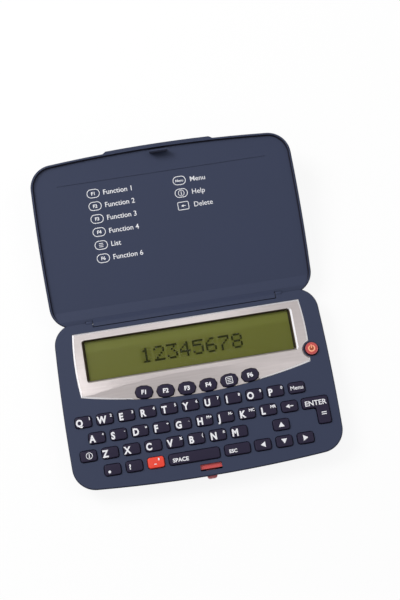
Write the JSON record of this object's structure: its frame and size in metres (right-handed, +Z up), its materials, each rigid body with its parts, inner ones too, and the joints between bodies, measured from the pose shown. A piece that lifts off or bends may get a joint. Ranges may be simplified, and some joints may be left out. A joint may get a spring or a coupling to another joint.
{
  "type": "electronic dictionary",
  "caption": "Pocket electronic dictionary: keyboard base with display and a hinged lid that shuts over the keys and latches at the front.",
  "frame": {"origin": "middle of the base's flat underside, 39.7 mm in front of the hinge line", "axes": "+Z up from the table, +Y towards the hinge and the opened lid, +X to the user's right; shown with the lid open on its stop"},
  "size_m": [0.1256, 0.1601, 0.022],
  "materials": {
    "case_plastic": "fine matt texture",
    "key_plastic": "satin",
    "red_plastic": "satin",
    "silver_paint": "satin metallic paint on plastic",
    "clear_plastic": "clear acrylic",
    "display_glass": "grey-green reflective display",
    "board_laminate": "green laminate",
    "mat_rubber": "grey silicone rubber",
    "cell_steel": "nickel plated",
    "screw_steel": "zinc plated",
    "pin_steel": "drawn",
    "spring_steel": "bright"
  },
  "bodies": {
    "base": {"keyboard_housing": "case_plastic", "bottom_case": "case_plastic", "battery_door": "case_plastic", "display_frame": "silver_paint", "display_window": "clear_plastic", "lcd_module": "display_glass", "circuit_board": "board_laminate", "key_mat": "mat_rubber", "coin_cells": "cell_steel", "screws": "screw_steel", "latch_spring": "spring_steel"},
    "lid": {"lid": "case_plastic", "hinge_pins": "pin_steel"},
    "latch": {"latch_slide": "red_plastic"},
    "key_a_body": {"key_a": "key_plastic"},
    "key_b_body": {"key_b": "key_plastic"},
    "key_c_body": {"key_c": "key_plastic"},
    "key_correct_body": {"key_correct": "key_plastic"},
    "key_d_body": {"key_d": "key_plastic"},
    "key_down_body": {"key_down": "key_plastic"},
    "key_e_body": {"key_e": "key_plastic"},
    "key_enter_body": {"key_enter": "key_plastic"},
    "key_escape_body": {"key_escape": "key_plastic"},
    "key_f_body": {"key_f": "key_plastic"},
    "key_g_body": {"key_g": "key_plastic"},
    "key_h_body": {"key_h": "key_plastic"},
    "key_hyphen_body": {"key_hyphen": "red_plastic"},
    "key_i_body": {"key_i": "key_plastic"},
    "key_info_body": {"key_info": "key_plastic"},
    "key_j_body": {"key_j": "key_plastic"},
    "key_k_body": {"key_k": "key_plastic"},
    "key_l_body": {"key_l": "key_plastic"},
    "key_left_body": {"key_left": "key_plastic"},
    "key_m_body": {"key_m": "key_plastic"},
    "key_menu_body": {"key_menu": "key_plastic"},
    "key_n_body": {"key_n": "key_plastic"},
    "key_o_body": {"key_o": "key_plastic"},
    "key_p_body": {"key_p": "key_plastic"},
    "key_period_body": {"key_period": "key_plastic"},
    "key_q_body": {"key_q": "key_plastic"},
    "key_question_body": {"key_question": "key_plastic"},
    "key_r_body": {"key_r": "key_plastic"},
    "key_right_body": {"key_right": "key_plastic"},
    "key_s_body": {"key_s": "key_plastic"},
    "key_space_body": {"key_space": "key_plastic"},
    "key_t_body": {"key_t": "key_plastic"},
    "key_u_body": {"key_u": "key_plastic"},
    "key_up_body": {"key_up": "key_plastic"},
    "key_v_body": {"key_v": "key_plastic"},
    "key_w_body": {"key_w": "key_plastic"},
    "key_x_body": {"key_x": "key_plastic"},
    "key_y_body": {"key_y": "key_plastic"},
    "key_z_body": {"key_z": "key_plastic"},
    "function_key_1_body": {"function_key_1": "key_plastic"},
    "function_key_2_body": {"function_key_2": "key_plastic"},
    "function_key_3_body": {"function_key_3": "key_plastic"},
    "function_key_4_body": {"function_key_4": "key_plastic"},
    "function_key_5_body": {"function_key_5": "key_plastic"},
    "function_key_6_body": {"function_key_6": "key_plastic"},
    "power_button_body": {"power_button": "red_plastic"}
  },
  "joints": [
    {"name": "lid_hinge", "type": "hinge", "parent": "base", "child": "lid", "pos_m": [0, 0.0397, 0.0085], "axis": [1, 0, 0], "range_deg": [0, 171.43]},
    {"name": "latch_push", "type": "slide", "parent": "base", "child": "latch", "axis": [0, 1, 0], "range_m": [0, 0.001], "stiffness_N_per_m": 500, "deforming": ["latch_spring"]},
    {"name": "key_a_press", "type": "slide", "parent": "base", "child": "key_a_body", "axis": [0, 0, -1], "range_m": [0, 0.0006], "stiffness_N_per_m": 400},
    {"name": "key_b_press", "type": "slide", "parent": "base", "child": "key_b_body", "axis": [0, 0, -1], "range_m": [0, 0.0006], "stiffness_N_per_m": 400},
    {"name": "key_c_press", "type": "slide", "parent": "base", "child": "key_c_body", "axis": [0, 0, -1], "range_m": [0, 0.0006], "stiffness_N_per_m": 400},
    {"name": "key_correct_press", "type": "slide", "parent": "base", "child": "key_correct_body", "axis": [0, 0, -1], "range_m": [0, 0.0006], "stiffness_N_per_m": 400},
    {"name": "key_d_press", "type": "slide", "parent": "base", "child": "key_d_body", "axis": [0, 0, -1], "range_m": [0, 0.0006], "stiffness_N_per_m": 400},
    {"name": "key_down_press", "type": "slide", "parent": "base", "child": "key_down_body", "axis": [0, 0, -1], "range_m": [0, 0.0006], "stiffness_N_per_m": 400},
    {"name": "key_e_press", "type": "slide", "parent": "base", "child": "key_e_body", "axis": [0, 0, -1], "range_m": [0, 0.0006], "stiffness_N_per_m": 400},
    {"name": "key_enter_press", "type": "slide", "parent": "base", "child": "key_enter_body", "axis": [0, 0, -1], "range_m": [0, 0.0006], "stiffness_N_per_m": 400},
    {"name": "key_escape_press", "type": "slide", "parent": "base", "child": "key_escape_body", "axis": [0, 0, -1], "range_m": [0, 0.0006], "stiffness_N_per_m": 400},
    {"name": "key_f_press", "type": "slide", "parent": "base", "child": "key_f_body", "axis": [0, 0, -1], "range_m": [0, 0.0006], "stiffness_N_per_m": 400},
    {"name": "key_g_press", "type": "slide", "parent": "base", "child": "key_g_body", "axis": [0, 0, -1], "range_m": [0, 0.0006], "stiffness_N_per_m": 400},
    {"name": "key_h_press", "type": "slide", "parent": "base", "child": "key_h_body", "axis": [0, 0, -1], "range_m": [0, 0.0006], "stiffness_N_per_m": 400},
    {"name": "key_hyphen_press", "type": "slide", "parent": "base", "child": "key_hyphen_body", "axis": [0, 0, -1], "range_m": [0, 0.0006], "stiffness_N_per_m": 400},
    {"name": "key_i_press", "type": "slide", "parent": "base", "child": "key_i_body", "axis": [0, 0, -1], "range_m": [0, 0.0006], "stiffness_N_per_m": 400},
    {"name": "key_info_press", "type": "slide", "parent": "base", "child": "key_info_body", "axis": [0, 0, -1], "range_m": [0, 0.0006], "stiffness_N_per_m": 400},
    {"name": "key_j_press", "type": "slide", "parent": "base", "child": "key_j_body", "axis": [0, 0, -1], "range_m": [0, 0.0006], "stiffness_N_per_m": 400},
    {"name": "key_k_press", "type": "slide", "parent": "base", "child": "key_k_body", "axis": [0, 0, -1], "range_m": [0, 0.0006], "stiffness_N_per_m": 400},
    {"name": "key_l_press", "type": "slide", "parent": "base", "child": "key_l_body", "axis": [0, 0, -1], "range_m": [0, 0.0006], "stiffness_N_per_m": 400},
    {"name": "key_left_press", "type": "slide", "parent": "base", "child": "key_left_body", "axis": [0, 0, -1], "range_m": [0, 0.0006], "stiffness_N_per_m": 400},
    {"name": "key_m_press", "type": "slide", "parent": "base", "child": "key_m_body", "axis": [0, 0, -1], "range_m": [0, 0.0006], "stiffness_N_per_m": 400},
    {"name": "key_menu_press", "type": "slide", "parent": "base", "child": "key_menu_body", "axis": [0, 0, -1], "range_m": [0, 0.0006], "stiffness_N_per_m": 400},
    {"name": "key_n_press", "type": "slide", "parent": "base", "child": "key_n_body", "axis": [0, 0, -1], "range_m": [0, 0.0006], "stiffness_N_per_m": 400},
    {"name": "key_o_press", "type": "slide", "parent": "base", "child": "key_o_body", "axis": [0, 0, -1], "range_m": [0, 0.0006], "stiffness_N_per_m": 400},
    {"name": "key_p_press", "type": "slide", "parent": "base", "child": "key_p_body", "axis": [0, 0, -1], "range_m": [0, 0.0006], "stiffness_N_per_m": 400},
    {"name": "key_period_press", "type": "slide", "parent": "base", "child": "key_period_body", "axis": [0, 0, -1], "range_m": [0, 0.0006], "stiffness_N_per_m": 400},
    {"name": "key_q_press", "type": "slide", "parent": "base", "child": "key_q_body", "axis": [0, 0, -1], "range_m": [0, 0.0006], "stiffness_N_per_m": 400},
    {"name": "key_question_press", "type": "slide", "parent": "base", "child": "key_question_body", "axis": [0, 0, -1], "range_m": [0, 0.0006], "stiffness_N_per_m": 400},
    {"name": "key_r_press", "type": "slide", "parent": "base", "child": "key_r_body", "axis": [0, 0, -1], "range_m": [0, 0.0006], "stiffness_N_per_m": 400},
    {"name": "key_right_press", "type": "slide", "parent": "base", "child": "key_right_body", "axis": [0, 0, -1], "range_m": [0, 0.0006], "stiffness_N_per_m": 400},
    {"name": "key_s_press", "type": "slide", "parent": "base", "child": "key_s_body", "axis": [0, 0, -1], "range_m": [0, 0.0006], "stiffness_N_per_m": 400},
    {"name": "key_space_press", "type": "slide", "parent": "base", "child": "key_space_body", "axis": [0, 0, -1], "range_m": [0, 0.0006], "stiffness_N_per_m": 400},
    {"name": "key_t_press", "type": "slide", "parent": "base", "child": "key_t_body", "axis": [0, 0, -1], "range_m": [0, 0.0006], "stiffness_N_per_m": 400},
    {"name": "key_u_press", "type": "slide", "parent": "base", "child": "key_u_body", "axis": [0, 0, -1], "range_m": [0, 0.0006], "stiffness_N_per_m": 400},
    {"name": "key_up_press", "type": "slide", "parent": "base", "child": "key_up_body", "axis": [0, 0, -1], "range_m": [0, 0.0006], "stiffness_N_per_m": 400},
    {"name": "key_v_press", "type": "slide", "parent": "base", "child": "key_v_body", "axis": [0, 0, -1], "range_m": [0, 0.0006], "stiffness_N_per_m": 400},
    {"name": "key_w_press", "type": "slide", "parent": "base", "child": "key_w_body", "axis": [0, 0, -1], "range_m": [0, 0.0006], "stiffness_N_per_m": 400},
    {"name": "key_x_press", "type": "slide", "parent": "base", "child": "key_x_body", "axis": [0, 0, -1], "range_m": [0, 0.0006], "stiffness_N_per_m": 400},
    {"name": "key_y_press", "type": "slide", "parent": "base", "child": "key_y_body", "axis": [0, 0, -1], "range_m": [0, 0.0006], "stiffness_N_per_m": 400},
    {"name": "key_z_press", "type": "slide", "parent": "base", "child": "key_z_body", "axis": [0, 0, -1], "range_m": [0, 0.0006], "stiffness_N_per_m": 400},
    {"name": "function_key_1_press", "type": "slide", "parent": "base", "child": "function_key_1_body", "axis": [0, 0, -1], "range_m": [0, 0.0006], "stiffness_N_per_m": 400},
    {"name": "function_key_2_press", "type": "slide", "parent": "base", "child": "function_key_2_body", "axis": [0, 0, -1], "range_m": [0, 0.0006], "stiffness_N_per_m": 400},
    {"name": "function_key_3_press", "type": "slide", "parent": "base", "child": "function_key_3_body", "axis": [0, 0, -1], "range_m": [0, 0.0006], "stiffness_N_per_m": 400},
    {"name": "function_key_4_press", "type": "slide", "parent": "base", "child": "function_key_4_body", "axis": [0, 0, -1], "range_m": [0, 0.0006], "stiffness_N_per_m": 400},
    {"name": "function_key_5_press", "type": "slide", "parent": "base", "child": "function_key_5_body", "axis": [0, 0, -1], "range_m": [0, 0.0006], "stiffness_N_per_m": 400},
    {"name": "function_key_6_press", "type": "slide", "parent": "base", "child": "function_key_6_body", "axis": [0, 0, -1], "range_m": [0, 0.0006], "stiffness_N_per_m": 400},
    {"name": "power_button_press", "type": "slide", "parent": "base", "child": "power_button_body", "axis": [0, 0, -1], "range_m": [0, 0.0006], "stiffness_N_per_m": 400}
  ]
}
